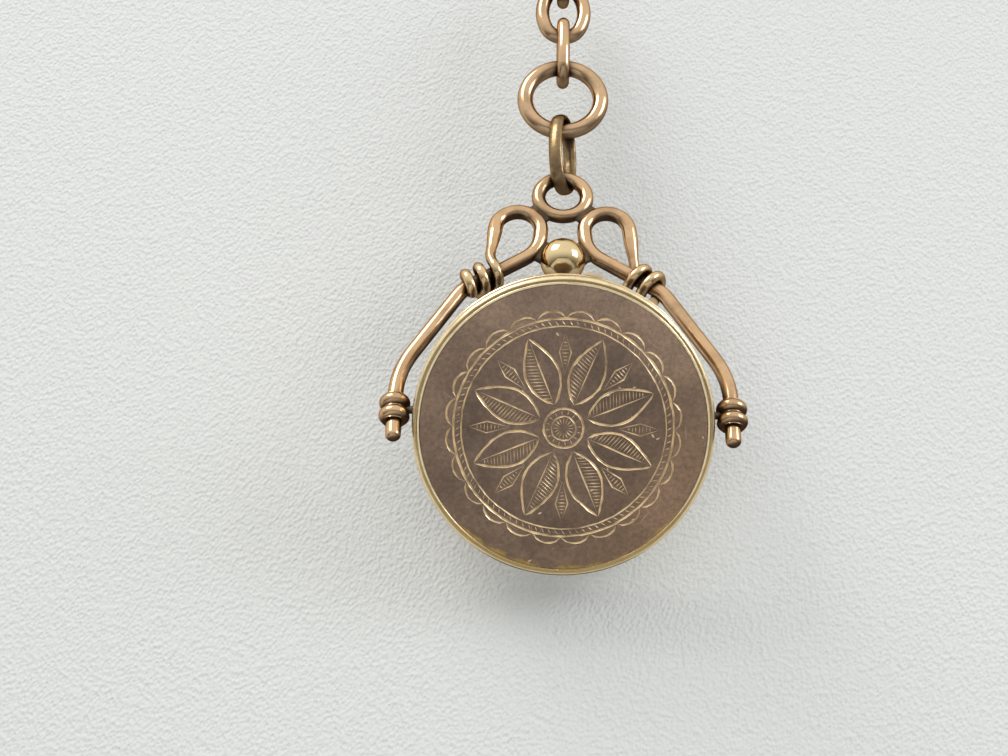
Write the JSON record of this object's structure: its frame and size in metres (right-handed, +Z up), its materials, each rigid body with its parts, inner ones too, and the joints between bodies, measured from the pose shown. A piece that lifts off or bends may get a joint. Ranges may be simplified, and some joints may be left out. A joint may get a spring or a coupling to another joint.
{
  "type": "pocket watch fob",
  "caption": "Round swivel locket that turns on pivots in a bent-wire hanger, hung from a short chain of links and rings.",
  "frame": {"origin": "inside the top link, where the wire of the next link up the chain would sit", "axes": "+Z up along the hanging chain, +Y away from the viewer, +X to the right as seen from the front"},
  "size_m": [0.032, 0.0169, 0.0662],
  "materials": {
    "wire": "polished and worn, rose tint",
    "old_brass": "dull and tarnished",
    "rim": "polished and worn, yellow",
    "plate": "satin, scratched",
    "steel": "drawn",
    "paper": "matt",
    "glass": "clear"
  },
  "bodies": {
    "top_link": {"top_link": "wire"},
    "oval_link": {"oval_link": "wire"},
    "small_link": {"small_link": "wire"},
    "large_ring": {"large_ring": "wire"},
    "jump_ring": {"jump_ring": "old_brass"},
    "bail": {"bail_ring": "wire", "left_bow": "wire", "right_bow": "wire", "left_binding": "wire", "right_binding": "wire", "left_collar": "wire", "right_collar": "wire", "ball": "wire"},
    "locket": {"centre_band": "rim", "left_pivot_pin": "steel", "right_pivot_pin": "steel", "front_bezel": "rim", "front_plate": "plate", "band_knuckles": "rim", "hinge_pin": "steel", "front_photo_frame": "rim", "front_photo": "paper", "front_crystal": "glass"},
    "cover": {"back_bezel": "rim", "back_plate": "plate", "cover_knuckle": "rim", "opening_lip": "rim", "back_photo_frame": "rim", "back_photo": "paper", "back_crystal": "glass"}
  },
  "joints": [
    {"name": "oval_link_swing", "type": "hinge", "parent": "top_link", "child": "oval_link", "pos_m": [0, 0, -0.00373], "axis": [1, 0, 0], "range_deg": [-50, 50]},
    {"name": "small_link_swing", "type": "hinge", "parent": "oval_link", "child": "small_link", "pos_m": [0, 0, -0.00825], "axis": [0, 1, 0], "range_deg": [-50, 50]},
    {"name": "large_ring_swing", "type": "hinge", "parent": "small_link", "child": "large_ring", "pos_m": [0, 0, -0.01324], "axis": [1, 0, 0], "range_deg": [-50, 50]},
    {"name": "jump_ring_swing", "type": "hinge", "parent": "large_ring", "child": "jump_ring", "pos_m": [0, 0, -0.02054], "axis": [1, 0, 0], "range_deg": [-40, 40]},
    {"name": "bail_swing", "type": "hinge", "parent": "jump_ring", "child": "bail", "pos_m": [0, 0, -0.02585], "axis": [1, 0, 0], "range_deg": [-50, 50]},
    {"name": "locket_spin", "type": "hinge", "parent": "bail", "child": "locket", "pos_m": [0, -0.00363, -0.05166], "axis": [1, 0, 0], "continuous": true},
    {"name": "cover_hinge", "type": "hinge", "parent": "locket", "child": "cover", "pos_m": [-0.00234, 0.0042, -0.06259], "axis": [-0.9826, -0.1011, 0.1557], "range_deg": [0, 100]}
  ]
}
